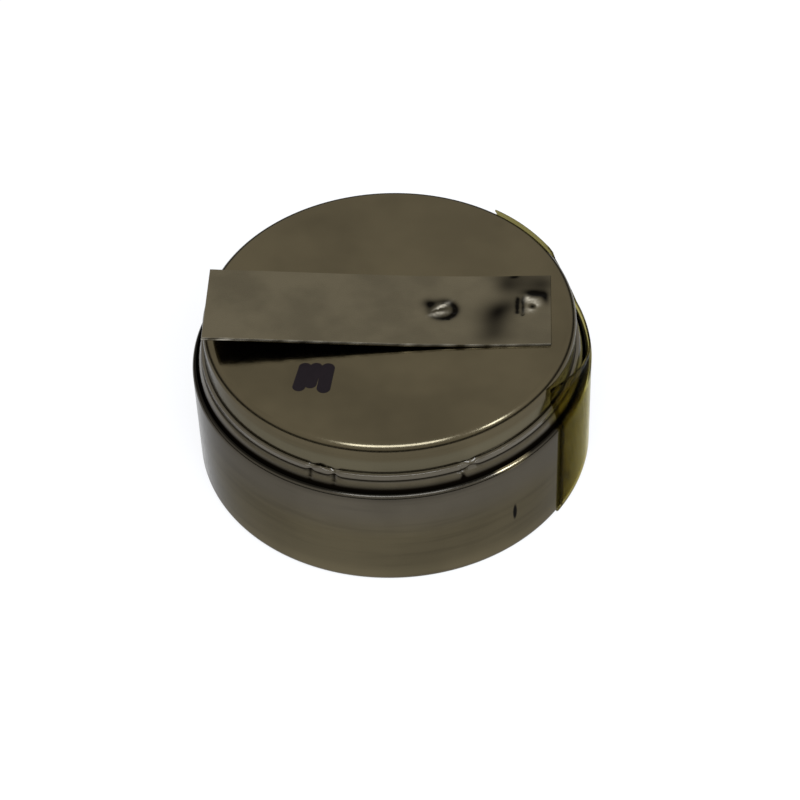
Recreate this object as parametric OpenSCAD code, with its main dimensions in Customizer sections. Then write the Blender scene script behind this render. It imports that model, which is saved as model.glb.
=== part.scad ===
// Rechargeable button cell with a wound electrode roll in a two-part steel housing.
// A plastic film seals the narrow lid inside the wide cup without a rolled crimp.
// A nickel strip is spot welded on the lid, and an amber film covers one side.
// The origin is the centre of the cup's flat base, with +Z up. Lengths are in millimetres.

/* [Housing] */
// Outer diameter of the cup
cell_d = 12.1; // [11.2:0.05:13.2]
// Height of the housing, from the cup's base to the face of the lid
cell_h = 5.4; // [5.1:0.05:6.2]
// Thickness of the steel of the cup and the lid
wall_t = 0.15; // [0.12:0.01:0.18]
// Height of the cup's lip above its base
cup_h = 3.78; // [3.4:0.02:3.9]
// Outer radius of the rounding between the cup's base and wall
cup_fillet = 0.3; // [0.24:0.02:0.44]
// Radius of the rounding at the cup's lip
lip_fillet = 0.2; // [0.16:0.01:0.26]
// Outer radius of the rounding between the lid's face and wall
lid_fillet = 0.33; // [0.26:0.01:0.4]
// How far the visible wall of the lid steps in from its sealed lower wall
lid_step = 0.16; // [0.1:0.01:0.22]
// Radius of the two bends of the lid's shoulder, at the middle of the steel
shoulder_r = 0.25; // [0.22:0.01:0.3]
// Height of the middle of the lid's shoulder above the cup's lip
shoulder_rise = 0.19; // [0.15:0.01:0.25]

/* [Seal] */
// Thickness of the sealing film
film_t = 0.09; // [0.07:0.01:0.11]
// Clearance between the film and the steel on each side of it
film_gap = 0.01; // [0.005:0.005:0.02]
// Height of the film's upper edge above the cup's lip
collar_rise = 0.52; // [0.46:0.02:0.8]
// Height of the crease in the film above the cup's lip
crease_rise = 0.32; // [0.26:0.02:0.42]
// Depth below the cup's lip at which the film meets the cup's wall
seal_depth = 0.25; // [0.15:0.01:0.4]
// Height of the film's inner leg, folded up behind the lid's cut edge
foot_h = 0.5; // [0.3:0.05:0.9]

/* [Electrode roll] */
// Radius of the open centre of the roll
core_r = 0.95; // [0.8:0.05:1.4]
// Thickness of the positive electrode strip
positive_t = 0.115; // [0.09:0.005:0.15]
// Thickness of the negative electrode strip
negative_t = 0.125; // [0.09:0.005:0.15]
// Thickness of each separator strip
separator_t = 0.02; // [0.015:0.005:0.03]
// Space between neighbouring strips of the roll
strip_gap = 0.0025; // [0.002:0.0005:0.004]
// How far the separators stand past the negative electrode at each end face
separator_margin = 0.1; // [0.06:0.01:0.2]
// How far the negative electrode stands past the positive one at each end face
electrode_margin = 0.1; // [0.06:0.01:0.2]
// Thickness of the tape that closes the roll
roll_tape_t = 0.03; // [0.02:0.005:0.04]
// Width of the tape that closes the roll
roll_tape_w = 3.2; // [2.4:0.1:4.0]
// Angle that the tape covers on each side of the roll's outer end
roll_tape_reach = 50; // [30:5:70]

/* [Conductors and insulators] */
// Thickness of the two conductor strips
conductor_t = 0.08; // [0.05:0.01:0.1]
// Width of the two conductor strips
conductor_w = 1.2; // [0.9:0.1:1.5]
// Length of each conductor strip that is welded along the roll
conductor_leg = 4.0; // [3.0:0.1:4.4]
// Length of each conductor strip that lies flat under the lid or on the base
conductor_foot = 3.6; // [2.4:0.1:4.0]
// Thickness of the insulating discs on the end faces of the roll
disc_t = 0.06; // [0.04:0.01:0.08]
// Least clearance round the roll, the discs and the conductors
roll_gap = 0.03; // [0.02:0.005:0.06]

/* [Solder tab] */
// Length of the nickel strip
tab_l = 10.32; // [9.0:0.05:11.5]
// Width of the nickel strip
tab_w = 3.0; // [2.4:0.1:4.0]
// Thickness of the nickel strip
tab_t = 0.1; // [0.08:0.01:0.15]
// Distance that each end is sheared out of square over the strip's width
tab_skew = 0.11; // [0:0.01:0.3]
// Turn of the strip seen from above
tab_yaw = -1.8; // [-6:0.1:6]
// Middle of the strip along X
tab_x = -0.3; // [-0.8:0.05:0.4]
// Middle of the strip along Y
tab_y = -0.135; // [-0.6:0.005:0.6]
// Rise of the lifted end for each millimetre of length
tab_slope = 0.0745; // [0.03:0.0005:0.12]
// Distance of the middle of the bend from the strip's welded end
bend_from_end = 2.91; // [2.6:0.05:3.6]
// Length of strip over which it bends
bend_l = 4.4; // [3.0:0.1:4.8]
// Distance from the welded end to the outer weld
weld_a_from_end = 0.63; // [0.5:0.01:0.9]
// Offset of the outer weld from the strip's centre line
weld_a_side = 0.27; // [-0.5:0.01:0.5]
// Distance from the welded end to the inner weld
weld_b_from_end = 3.3; // [2.4:0.05:3.8]
// Offset of the inner weld from the strip's centre line
weld_b_side = 0.04; // [-0.5:0.01:0.5]
// Radius of the pressed mark of each weld
weld_r = 0.34; // [0.25:0.01:0.45]
// Depth of the pressed mark of each weld
weld_depth = 0.05; // [0.02:0.01:0.06]
// Height of the burr round each weld
burr_h = 0.03; // [0.02:0.005:0.05]

/* [Side film] */
// Thickness of the amber film on the wall
side_film_t = 0.06; // [0.04:0.01:0.1]
// Clearance between the amber film and the cup
side_film_gap = 0.01; // [0.005:0.005:0.03]
// Angle that the film follows round the cup's lower rounding
side_film_wrap = 45; // [20:5:50]
// Distance of the film's upper edge below the face of the lid
side_film_drop = 0.15; // [0.05:0.01:0.6]
// Space between the leaning part of the film and the lid's wall
side_film_stand = 0.06; // [0.02:0.01:0.2]
// Direction where the film's upper edge has fallen to the cup's lip, seen from above
side_film_low_from = -2; // [-12:1:4]
// Direction where the film's upper edge leaves the lip again
side_film_low_to = 17; // [8:1:30]
// Angle over which the film's upper edge rises at the back
side_film_rise = 10; // [4:1:16]
// Direction of the film's front end, seen from above
side_film_start = -36; // [-60:1:-10]
// Angle round the cell that the film covers
side_film_sweep = 88; // [60:1:120]

/* [Hidden] */
$fn = 96;

// Points along a round stretch of an outline
arc_steps = 8;
// Overlap that joins two shapes of one piece
join = 0.01;

// Housing, from the outside in
cup_r = cell_d / 2;
cup_ri = cup_r - wall_t;
film_r = cup_ri - film_gap;
lid_low_r = film_r - film_t - film_gap;
lid_r = lid_low_r - lid_step;
lid_ri = lid_r - wall_t;
lid_under = cell_h - wall_t;
lip_turn = 65;
lip_break = 0.05;

// Shoulder of the lid: two equal bends, the upper one hollow and the lower one round
shoulder_turn = acos(1 - lid_step / (2 * shoulder_r));
shoulder_mid = cup_h + shoulder_rise;
shoulder_half = shoulder_r * sin(shoulder_turn);
shoulder_top = shoulder_mid + shoulder_half;
shoulder_bottom = shoulder_mid - shoulder_half;

// Sealing film
collar_ri = lid_r + film_gap;
collar_r = collar_ri + film_t;
collar_top = cup_h + collar_rise;
crease_z = cup_h + crease_rise;
seal_z = cup_h - seal_depth;
bead_in = film_r - collar_r;
bead_h = crease_z - seal_z;
bead_r = (bead_in * bead_in + bead_h * bead_h) / (2 * bead_in);
bead_turn = asin(bead_h / bead_r);
web_z = wall_t + film_gap;
web_top = web_z + film_t;
foot_r = lid_low_r - wall_t - film_gap;
foot_ri = foot_r - film_t;
lid_edge = web_top + film_gap;

// Electrode roll: half turns about two centres, a quarter of the pitch off the axis
pitch = positive_t + negative_t + 2 * separator_t + 4 * strip_gap;
positive_in = core_r;
inner_separator_in = positive_in + positive_t + strip_gap;
negative_in = inner_separator_in + separator_t + strip_gap;
outer_separator_in = negative_in + negative_t + strip_gap;
roll_limit = lid_ri - conductor_t - roll_gap;
first_out = negative_in + negative_t + pitch / 4;
last_half = floor(2 * (roll_limit - first_out) / pitch);
last_out = negative_in + negative_t + last_half * pitch / 2;
last_end = last_half % 2 == 0 ? 180 : 360;
roll_bottom = wall_t + conductor_t + disc_t;
roll_top = lid_under - conductor_t - disc_t;
roll_mid = (roll_bottom + roll_top) / 2;
disc_r = last_out - pitch / 2 - roll_gap;

// Solder tab, in its own frame: X along the strip, Z = 0 at its underside on the lid
tab_end = tab_l / 2;
bend_mid = tab_end - bend_from_end;
bend_start = bend_mid + bend_l / 2;
bend_stop = bend_mid - bend_l / 2;
weld_a = [tab_end - weld_a_from_end, weld_a_side];
weld_b = [tab_end - weld_b_from_end, weld_b_side];
nugget_r = 0.6 * weld_r;

// Amber side film: it leaves the cup at the lip's rounding and leans in to the lid
side_film_ri = cup_r + side_film_gap;
side_film_fold = cup_h - lip_fillet / 2;
side_film_top = cell_h - side_film_drop;
side_film_slope = (side_film_ri - lid_r - side_film_stand) / (cell_h - lid_fillet - side_film_fold);

// Points of a round stretch about a centre, from one angle to another
function arc(c, r, a0, a1) =
    [for (i = [0 : arc_steps]) let (a = a0 + (a1 - a0) * i / arc_steps) c + r * [cos(a), sin(a)]];

function reversed(p) = [for (i = [len(p) - 1 : -1 : 0]) p[i]];

// Lid's shoulder from the top down, at a distance outwards from the middle of the steel
function shoulder(off) = concat(
    arc([lid_r - wall_t / 2 + shoulder_r, shoulder_top], shoulder_r - off, 180, 180 + shoulder_turn),
    arc([lid_low_r - wall_t / 2 - shoulder_r, shoulder_bottom], shoulder_r + off, shoulder_turn, 0));

// Face of the side film from the bottom up, at a distance outwards from its inner face
function film_face(off) = concat(
    arc([cup_r - cup_fillet, cup_fillet], cup_fillet + side_film_gap + off, -side_film_wrap, 0),
    [[side_film_ri + off, side_film_fold]],
    [[side_film_ri + off - side_film_slope * (side_film_top - side_film_fold), side_film_top]]);

// Height of the strip's underside above the lid at a distance along the strip
function rise(x) =
    x >= bend_start ? 0 :
    x > bend_stop ? tab_slope * pow(bend_start - x, 2) / (2 * bend_l) :
    tab_slope * (bend_mid - x);

// Steel cup: flat base, straight wall and a lip that turns in a little
module cup() {
    fillet_c = [cup_r - cup_fillet, cup_fillet];
    color("#8d8673")
        rotate_extrude()
            polygon(concat(
                [[0, 0]],
                arc(fillet_c, cup_fillet, -90, 0),
                arc([cup_r - lip_fillet, cup_h - lip_fillet], lip_fillet, 0, lip_turn),
                [[cup_ri, cup_h - lip_break]],
                arc(fillet_c, cup_fillet - wall_t, 0, -90),
                [[0, wall_t]]));
}

// Steel lid: flat face, narrow wall, shoulder and a wide wall down inside the cup
module lid() {
    fillet_c = [lid_r - lid_fillet, cell_h - lid_fillet];
    color("#948c76")
        rotate_extrude()
            polygon(concat(
                [[0, cell_h]],
                arc(fillet_c, lid_fillet, 90, 0),
                shoulder(wall_t / 2),
                [[lid_low_r, lid_edge], [lid_low_r - wall_t, lid_edge]],
                reversed(shoulder(-wall_t / 2)),
                arc(fillet_c, lid_fillet - wall_t, 0, 90),
                [[0, lid_under]]));
}

// Sealing film: collar on the lid, crease, bead into the cup, and a foot round the lid's edge
module seal_film() {
    color("#4a443a")
        rotate_extrude()
            polygon(concat(
                [[collar_ri, collar_top], [collar_r, collar_top]],
                arc([film_r - bead_r, seal_z], bead_r, bead_turn, 0),
                arc([cup_r - cup_fillet, cup_fillet], cup_fillet - web_z, 0, -90),
                [[foot_ri, web_z], [foot_ri, web_z + foot_h], [foot_r, web_z + foot_h]],
                [[foot_r, web_top], [lid_low_r + film_gap, web_top]],
                reversed(shoulder(wall_t / 2 + film_gap))));
}

// One half turn of the roll: even ones lie on +Y, odd ones on -Y
module half_turn(k, r_in, t) {
    r = r_in + k * pitch / 2;
    side = k % 2 == 0 ? 1 : -1;
    translate([-side * pitch / 4, 0])
        intersection() {
            difference() {
                circle(r = r + t);
                circle(r = r);
            }
            translate([-cup_r, side > 0 ? 0 : -cup_r])
                square([2 * cup_r, cup_r]);
        }
}

// A strip wound from one half turn to another, centred on the roll's height
module wound_strip(r_in, t, first, last, end_margin) {
    h = roll_top - roll_bottom - 2 * end_margin;
    translate([0, 0, roll_mid - h / 2])
        linear_extrude(h)
            for (k = [first : last])
                half_turn(k, r_in, t);
}

module positive_electrode() {
    color("#3c3d42")
        wound_strip(positive_in, positive_t, 0, last_half - 2, separator_margin + electrode_margin);
}

module inner_separator() {
    color("#e8e8e4")
        wound_strip(inner_separator_in, separator_t, 0, last_half - 1, 0);
}

module negative_electrode() {
    color("#5a4438")
        wound_strip(negative_in, negative_t, 0, last_half, separator_margin);
}

module outer_separator() {
    color("#e4e6ea")
        wound_strip(outer_separator_in, separator_t, 0, last_half - 1, 0);
}

// Frame of the roll's last half turn, with +X at its outer end
module at_roll_end() {
    side = last_half % 2 == 0 ? 1 : -1;
    translate([-side * pitch / 4, 0, 0])
        rotate([0, 0, last_end])
            children();
}

// Tape across the outer end of the roll
module roll_tape() {
    color("#b98a3a")
        at_roll_end()
            rotate([0, 0, -roll_tape_reach])
                translate([0, 0, roll_mid - roll_tape_w / 2])
                    rotate_extrude(angle = 2 * roll_tape_reach)
                        translate([last_out + strip_gap, 0])
                            square([roll_tape_t, roll_tape_w]);
}

// Upright part of a conductor: a piece of ring as wide as the strip, across +X
module conductor_upright(r_in, h) {
    intersection() {
        difference() {
            cylinder(r = r_in + conductor_t, h = h);
            translate([0, 0, -join])
                cylinder(r = r_in, h = h + 2 * join);
        }
        translate([0, -conductor_w / 2, 0])
            cube([cup_r, conductor_w, h]);
    }
}

// Aluminium strip on the inner end of the positive electrode, folded out on the base
module inner_conductor() {
    r_in = core_r - strip_gap - conductor_t;
    color("#c9ccd0")
        translate([-pitch / 4, 0, wall_t])
            rotate([0, 0, 90]) {
                conductor_upright(r_in, conductor_leg);
                translate([r_in - conductor_t, -conductor_w / 2, 0])
                    cube([conductor_foot, conductor_w, conductor_t]);
            }
}

// Nickel strip on the outer end of the negative electrode, folded in under the lid
module outer_conductor() {
    r_in = last_out + strip_gap;
    reach = r_in + conductor_t;
    corner_c = [lid_r - lid_fillet, cell_h - lid_fillet];
    color("#b9b3a4")
        intersection() {
            at_roll_end()
                rotate([0, 0, -120]) {
                    translate([0, 0, lid_under - conductor_leg])
                        conductor_upright(r_in, conductor_leg);
                    translate([reach - conductor_foot, -conductor_w / 2, lid_under - conductor_t])
                        intersection() {
                            cube([conductor_foot, conductor_w, conductor_t]);
                            translate([conductor_foot - reach, conductor_w / 2, 0])
                                cylinder(r = reach, h = conductor_t);
                        }
                }
            rotate_extrude()
                polygon(concat(
                    [[0, lid_under]],
                    arc(corner_c, lid_fillet - wall_t - film_gap, 90, 0),
                    [[lid_ri - film_gap, 0], [0, 0]]));
        }
}

// Insulating disc whose hole clears both centres of the roll's turns
module insulator_disc(z) {
    translate([0, 0, z])
        difference() {
            cylinder(r = disc_r, h = disc_t);
            translate([0, 0, -join])
                cylinder(r = core_r + pitch / 4, h = disc_t + 2 * join);
        }
}

module lower_insulator() {
    color("#dfe3e0")
        insulator_disc(wall_t + conductor_t);
}

module upper_insulator() {
    color("#dfe3e0")
        insulator_disc(roll_top);
}

// Plan of the strip: both ends sheared the same way
module tab_plan() {
    polygon([
        [-tab_end - tab_skew / 2, -tab_w / 2],
        [tab_end - tab_skew / 2, -tab_w / 2],
        [tab_end + tab_skew / 2, tab_w / 2],
        [-tab_end + tab_skew / 2, tab_w / 2]]);
}

// Side of the strip: flat at the welds, bent, then straight and rising
module tab_side() {
    bend = [for (i = [0 : arc_steps]) bend_start - bend_l * i / arc_steps];
    xs = concat([tab_end + tab_w], bend, [-tab_end - tab_w]);
    polygon(concat(
        [for (x = xs) [x, rise(x)]],
        [for (x = reversed(xs)) [x, rise(x) + tab_t]]));
}

// Burr that the electrode left round a weld, half sunk in the strip
module weld_burr(p) {
    translate([p[0], p[1], rise(p[0]) + tab_t])
        rotate_extrude()
            translate([weld_r, 0])
                circle(r = burr_h);
}

// Metal pressed down to the lid under a weld
module weld_nugget(p) {
    translate([p[0], p[1], 0])
        cylinder(r = nugget_r, h = rise(p[0]) + tab_t / 2);
}

// Hollow pressed into the strip: part of a ball, as wide as the burr's middle
module weld_hollow(p) {
    ball_r = (weld_r * weld_r + weld_depth * weld_depth) / (2 * weld_depth);
    translate([p[0], p[1], rise(p[0]) + tab_t - weld_depth + ball_r])
        sphere(r = ball_r);
}

// Nickel strip, spot welded to the lid at two places
module solder_tab() {
    color("#a39a80")
        translate([tab_x, tab_y, cell_h])
            rotate([0, 0, tab_yaw])
                difference() {
                    union() {
                        intersection() {
                            linear_extrude(tab_l)
                                tab_plan();
                            rotate([90, 0, 0])
                                linear_extrude(2 * tab_w, center = true)
                                    tab_side();
                        }
                        for (p = [weld_a, weld_b]) {
                            weld_burr(p);
                            weld_nugget(p);
                        }
                    }
                    for (p = [weld_a, weld_b])
                        weld_hollow(p);
                }
}

// Space above the film's upper edge where it falls to the lip and rises again
module film_cut() {
    rotate([90, 0, 90])
        linear_extrude(cup_r + side_film_t + 1)
            polygon([
                [side_film_ri * sin(side_film_start), side_film_top],
                [side_film_ri * sin(side_film_low_from), cup_h],
                [side_film_ri * sin(side_film_low_to), cup_h],
                [side_film_ri * sin(side_film_low_to + side_film_rise), side_film_top],
                [side_film_ri * sin(side_film_low_to + side_film_rise), side_film_top + 1],
                [side_film_ri * sin(side_film_start), side_film_top + 1]]);
}

// Amber film round part of the wall, with two flaps that lean in past the lip to the lid
module side_film() {
    color("#a8862c")
        difference() {
            rotate([0, 0, side_film_start])
                rotate_extrude(angle = side_film_sweep)
                    polygon(concat(film_face(side_film_t), reversed(film_face(0))));
            film_cut();
        }
}

cup();
lid();
seal_film();
positive_electrode();
negative_electrode();
inner_separator();
outer_separator();
roll_tape();
inner_conductor();
outer_conductor();
lower_insulator();
upper_insulator();
solder_tab();
side_film();
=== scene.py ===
"""Button cell with a welded nickel tab: the finish of every piece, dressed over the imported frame.

Lengths are millimetres in the settings and become metres in the meshes.
"""

import math

import bmesh
import bpy
from mathutils import Matrix, Vector, noise


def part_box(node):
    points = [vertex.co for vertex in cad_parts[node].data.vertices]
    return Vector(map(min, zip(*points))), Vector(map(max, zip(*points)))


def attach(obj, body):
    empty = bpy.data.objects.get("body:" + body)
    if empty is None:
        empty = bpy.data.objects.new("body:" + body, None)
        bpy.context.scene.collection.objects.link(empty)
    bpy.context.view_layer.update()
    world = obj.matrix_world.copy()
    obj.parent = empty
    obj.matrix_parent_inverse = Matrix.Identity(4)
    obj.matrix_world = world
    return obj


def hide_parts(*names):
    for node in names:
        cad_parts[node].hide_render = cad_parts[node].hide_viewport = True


bl_info = {
    "name": "Button cell with solder tab",
    "version": (1, 0, 0),
    "blender": (4, 5, 0),
    "location": "View3D > Sidebar > Button Cell",
    "description": "Models and finishes a small steel button cell with a welded nickel strip",
    "category": "Add Mesh",
}

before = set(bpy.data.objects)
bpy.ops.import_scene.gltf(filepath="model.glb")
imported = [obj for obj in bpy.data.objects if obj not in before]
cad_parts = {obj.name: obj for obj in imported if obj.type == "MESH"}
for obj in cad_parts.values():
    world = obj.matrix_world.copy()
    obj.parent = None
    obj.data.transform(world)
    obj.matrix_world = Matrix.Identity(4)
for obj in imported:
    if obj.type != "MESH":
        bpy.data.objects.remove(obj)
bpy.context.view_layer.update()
MM = 0.001
BODY = "root"


# Sizes that come from the frame, in millimetres

def box_mm(node):
    """Lowest and highest corner of a node, in millimetres."""
    low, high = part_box(node)
    return low / MM, high / MM


CUP_LOW, CUP_HIGH = box_mm("cup")
LID_TOP = box_mm("lid")[1].z
SEAL_TOP = box_mm("seal_film")[1].z
SIDE_FILM_TOP = box_mm("side_film")[1].z


# Settings

def length(name, description, default):
    """A length in millimetres, shown with its name."""
    return bpy.props.FloatProperty(name=name, description=description, default=default, precision=3)


def turn(name, description, default):
    """An angle or a direction in degrees."""
    return bpy.props.FloatProperty(name=name, description=description, default=default)


def tint(name, description, text):
    """A colour written as an sRGB hex value."""
    return bpy.props.FloatVectorProperty(
        name=name, description=description, default=linear(text)[:3], size=3, subtype="COLOR", min=0, max=1)


def linear(text):
    """Linear RGBA of an sRGB hex value such as #8d8673."""
    parts = [int(text[i:i + 2], 16) / 255 for i in (1, 3, 5)]
    return tuple(p / 12.92 if p <= 0.04045 else ((p + 0.055) / 1.055) ** 2.4 for p in parts) + (1.0,)


class CellSizes(bpy.types.PropertyGroup):
    """Sizes of the housing and its seal, in millimetres."""
    cup_d: length("Cup diameter", "Outer diameter of the cup", CUP_HIGH.x - CUP_LOW.x)
    cup_h: length("Cup height", "Height of the cup's lip", CUP_HIGH.z)
    cell_h: length("Cell height", "Height of the lid's face", LID_TOP)
    wall: length("Wall", "Thickness of the steel", 0.15)
    cup_fillet: length("Base rounding", "Rounding between the cup's base and wall", 0.3)
    lip_fillet: length("Lip rounding", "Rounding of the cup's lip", 0.2)
    lid_fillet: length("Lid rounding", "Rounding between the lid's face and wall", 0.33)
    lid_step: length("Lid step", "How far the lid's visible wall steps in", 0.16)
    shoulder_r: length("Shoulder bend", "Radius of the bends of the lid's shoulder", 0.25)
    shoulder_rise: length("Shoulder height", "Middle of the shoulder above the lip", 0.19)
    film: length("Film", "Thickness of the sealing film", 0.09)
    film_gap: length("Film clearance", "Clearance on each side of the film", 0.01)
    crease_rise: length("Crease height", "Crease of the film above the lip", 0.32)
    seal_depth: length("Seal depth", "Where the film meets the cup below its lip", 0.25)
    foot_h: length("Foot height", "Height of the film's foot inside the lid's wall", 0.5)


class TabSizes(bpy.types.PropertyGroup):
    """Sizes and places of the nickel strip, in millimetres and degrees."""
    long: length("Length", "Length of the strip", 10.32)
    wide: length("Width", "Width of the strip", 3.0)
    thick: length("Thickness", "Thickness of the strip", 0.1)
    skew: length("Skew", "How far each end is sheared out of square", 0.11)
    yaw: turn("Turn", "Turn seen from above", -1.8)
    middle: bpy.props.FloatVectorProperty(
        name="Middle", description="Middle of the strip in plan, in millimetres", size=2,
        default=(-0.3, -0.135))
    slope: bpy.props.FloatProperty(
        name="Slope", description="Rise per length of the free end", default=0.0745)
    bend_middle: length("Bend", "Middle of the bend along the strip", 2.25)
    bend_long: length("Bend length", "Length over which the strip bends", 4.4)
    weld_r: length("Weld radius", "Radius of each weld's pressed mark", 0.34)


class FilmSizes(bpy.types.PropertyGroup):
    """Sizes of the amber film on the wall, in millimetres and degrees."""
    gap: length("Clearance", "Clearance between the film and the cup", 0.01)
    thick: length("Thickness", "Thickness of the film", 0.06)
    stand: length("Stand-off", "Space between the leaning part and the lid's wall", 0.06)
    wrap: turn("Wrap", "Angle that the film follows round the cup's lower rounding", 45.0)
    start: turn("Start", "Direction of the front end", -36.0)
    sweep: turn("Sweep", "Angle that the film covers", 88.0)
    low_from: turn("Low from", "Direction where the upper edge has fallen to the lip", -2.0)
    low_to: turn("Low to", "Direction where the upper edge leaves the lip again", 17.0)
    rise: turn("Rise", "Angle over which the upper edge rises at the back", 10.0)


class CellColours(bpy.types.PropertyGroup):
    """Colours of the visible pieces."""
    lid: tint("Lid", "Nickel plated steel of the lid", "#5a523f")
    lid_cool: tint("Lid wall", "Steel of the lid's wall, a little greyer than its face", "#5f5947")
    cup: tint("Cup", "Nickel plated steel of the cup", "#5f5743")
    cup_cool: tint("Cup by its lip", "Steel of the cup near its lip, a little greyer", "#5f594d")
    nickel: tint("Nickel", "Rolled nickel of the strip", "#605948")
    # Also the colour of the painted highlight along the strip's near edge
    bare: tint("Bare nickel", "Nickel that the electrodes scraped bright", "#e8e1cf")
    seal: tint("Seal", "Dark sealing film", "#423b2c")
    amber: tint("Amber film", "Polyimide film on the wall", "#e9de8c")
    ink: tint("Ink", "Black ink on the lid", "#1c1718")


SETTINGS = {
    "cell_sizes": CellSizes, "tab_sizes": TabSizes, "film_sizes": FilmSizes, "cell_colours": CellColours}


# Mesh helpers

def arc(centre, radius, start, end, steps=10):
    """Points of a round stretch of an outline in the XZ plane, angles in degrees."""
    turns = [math.radians(start + (end - start) * i / steps) for i in range(steps + 1)]
    return [(centre[0] + radius * math.cos(a), centre[1] + radius * math.sin(a)) for a in turns]


def paint(bm, name, amount_at):
    """Keeps on every vertex how much stain and painted shade, or scraped metal and painted highlight, it has,
    from 0 to 1, for the material to read.
    """
    layer = bm.verts.layers.float.get(name) or bm.verts.layers.float.new(name)
    for vert in bm.verts:
        vert[layer] = min(max(amount_at(vert), 0.0), 1.0)


def along_stops(share, stops):
    """A value read from a list of (share, value) pairs, straight between them."""
    for (s0, v0), (s1, v1) in zip(stops, stops[1:]):
        if share <= s1:
            return v0 + (v1 - v0) * (share - s0) / (s1 - s0)
    return stops[-1][1]


def hills(at, places):
    """Sum of smooth hills over ellipses in plan: middle, radii, slant in degrees and height of each."""
    total = 0
    for centre, radii, slant, height in places:
        dx, dy = at.x - centre[0], at.y - centre[1]
        c, w = math.cos(math.radians(slant)), math.sin(math.radians(slant))
        along, across = (c * dx + w * dy) / radii[0], (c * dy - w * dx) / radii[1]
        total += height * math.exp(-along ** 2 - across ** 2)
    return total


def finish_piece(bm, name, nodes, material, sharp=30):
    """Writes a bmesh in millimetres to an object in metres that rides on the cell."""
    bmesh.ops.scale(bm, vec=(MM, MM, MM), verts=bm.verts)
    bmesh.ops.recalc_face_normals(bm, faces=bm.faces)
    mesh = bpy.data.meshes.new(name)
    bm.to_mesh(mesh)
    bm.free()
    mesh.shade_smooth()
    mesh.set_sharp_from_angle(angle=math.radians(sharp))
    mesh.materials.append(material)
    piece = bpy.data.objects.new(name, mesh)
    bpy.context.scene.collection.objects.link(piece)
    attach(piece, BODY)
    if nodes:
        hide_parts(*nodes)
    return piece


def lathe(profile, steps, closed):
    """A bmesh spun from an outline of (radius, height) points about the cell's axis."""
    bm = bmesh.new()
    verts = [bm.verts.new((r, 0, z)) for r, z in profile]
    pairs = list(zip(verts, verts[1:] + verts[:1] if closed else verts[1:]))
    edges = [bm.edges.new(pair) for pair in pairs]
    bmesh.ops.spin(
        bm, geom=verts + edges, axis=(0, 0, 1), cent=(0, 0, 0), angle=2 * math.pi, steps=steps,
        use_merge=True, use_normal_flip=False, use_duplicate=False)
    bmesh.ops.remove_doubles(bm, verts=bm.verts, dist=1e-5)
    return bm


def smooth_step(x, low, high):
    """0 below low, 1 above high and smooth between."""
    t = min(max((x - low) / (high - low), 0), 1)
    return t * t * (3 - 2 * t)


def bump(x, width):
    """A smooth hill of height 1 that dies away over about twice its width."""
    return math.exp(-(x / width) ** 2)


def turn_apart(a, b):
    """Smallest angle between two directions, in degrees, signed."""
    return (a - b + 180) % 360 - 180


def around(radius, direction, height):
    """The place at a radius, in a direction in degrees and at a height about the cell's axis."""
    angle = math.radians(direction)
    return radius * math.cos(angle), radius * math.sin(angle), height


# Material helpers

BLACK = (0, 0, 0, 1)
# Below the metals' real edge tint, because the walls in the photograph don't turn pale at a shallow angle
EDGE_TINT = (0.6, 0.6, 0.6, 1)


def add_node(tree, kind, links=None, values=None, **settings):
    """Adds one node with its settings, its sockets' values and its links."""
    node = tree.nodes.new(kind)
    for key, value in settings.items():
        setattr(node, key, value)
    for socket, value in (values or {}).items():
        node.inputs[socket].default_value = value
    for socket, source in (links or {}).items():
        tree.links.new(source, node.inputs[socket])
    return node


def new_material(name, colour, metallic, roughness, **sockets):
    """A material with its shader, whose even values are set on the shader's own sockets."""
    material = bpy.data.materials.new(name)
    material.use_nodes = True
    shader = material.node_tree.nodes["Principled BSDF"]
    shader.inputs["Base Color"].default_value = colour
    shader.inputs["Metallic"].default_value = metallic
    shader.inputs["Roughness"].default_value = roughness
    for socket, value in sockets.items():
        shader.inputs[socket.replace("_", " ")].default_value = value
    place = add_node(material.node_tree, "ShaderNodeTexCoord").outputs["Object"]
    return material, material.node_tree, shader, place


def stretched(tree, place, scale):
    """The object's coordinates scaled along each axis: a pattern is drawn out where the scale is small."""
    return add_node(tree, "ShaderNodeMapping", {"Vector": place}, {"Scale": scale}).outputs["Vector"]


def noisy(tree, place, size, detail, roughness=0.5):
    """A noise pattern whose grains are about this many millimetres wide."""
    return add_node(
        tree, "ShaderNodeTexNoise", {"Vector": place},
        {"Scale": 1 / (size * MM), "Detail": detail, "Roughness": roughness}).outputs["Fac"]


def spread(tree, source, low, high, out_low, out_high):
    """A value moved smoothly from one range to another."""
    return add_node(
        tree, "ShaderNodeMapRange", {"Value": source},
        {"From Min": low, "From Max": high, "To Min": out_low, "To Max": out_high},
        interpolation_type="SMOOTHSTEP").outputs["Result"]


def spot(tree, place, centre, radii, slant, edge):
    """1 inside an ellipsoid given in millimetres and 0 outside it, soft at its edge."""
    moved = add_node(
        tree, "ShaderNodeMapping", {"Vector": place},
        {"Location": [c * MM for c in centre], "Rotation": (0, 0, math.radians(slant)),
         "Scale": [r * MM for r in radii]}, vector_type="TEXTURE")
    reach = add_node(tree, "ShaderNodeVectorMath", {0: moved.outputs["Vector"]}, operation="LENGTH")
    return spread(tree, reach.outputs["Value"], 1 - edge, 1 + edge, 1, 0)


def blend_colour(tree, factor, below, above):
    """One colour over another by a factor."""
    node = add_node(tree, "ShaderNodeMix", {"Factor": factor}, data_type="RGBA")
    for socket, value in (("A", below), ("B", above)):
        target = next(s for s in node.inputs if s.name == socket and s.type == "RGBA")
        if isinstance(value, bpy.types.NodeSocket):
            tree.links.new(value, target)
        else:
            target.default_value = value
    return next(s for s in node.outputs if s.type == "RGBA")


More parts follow.
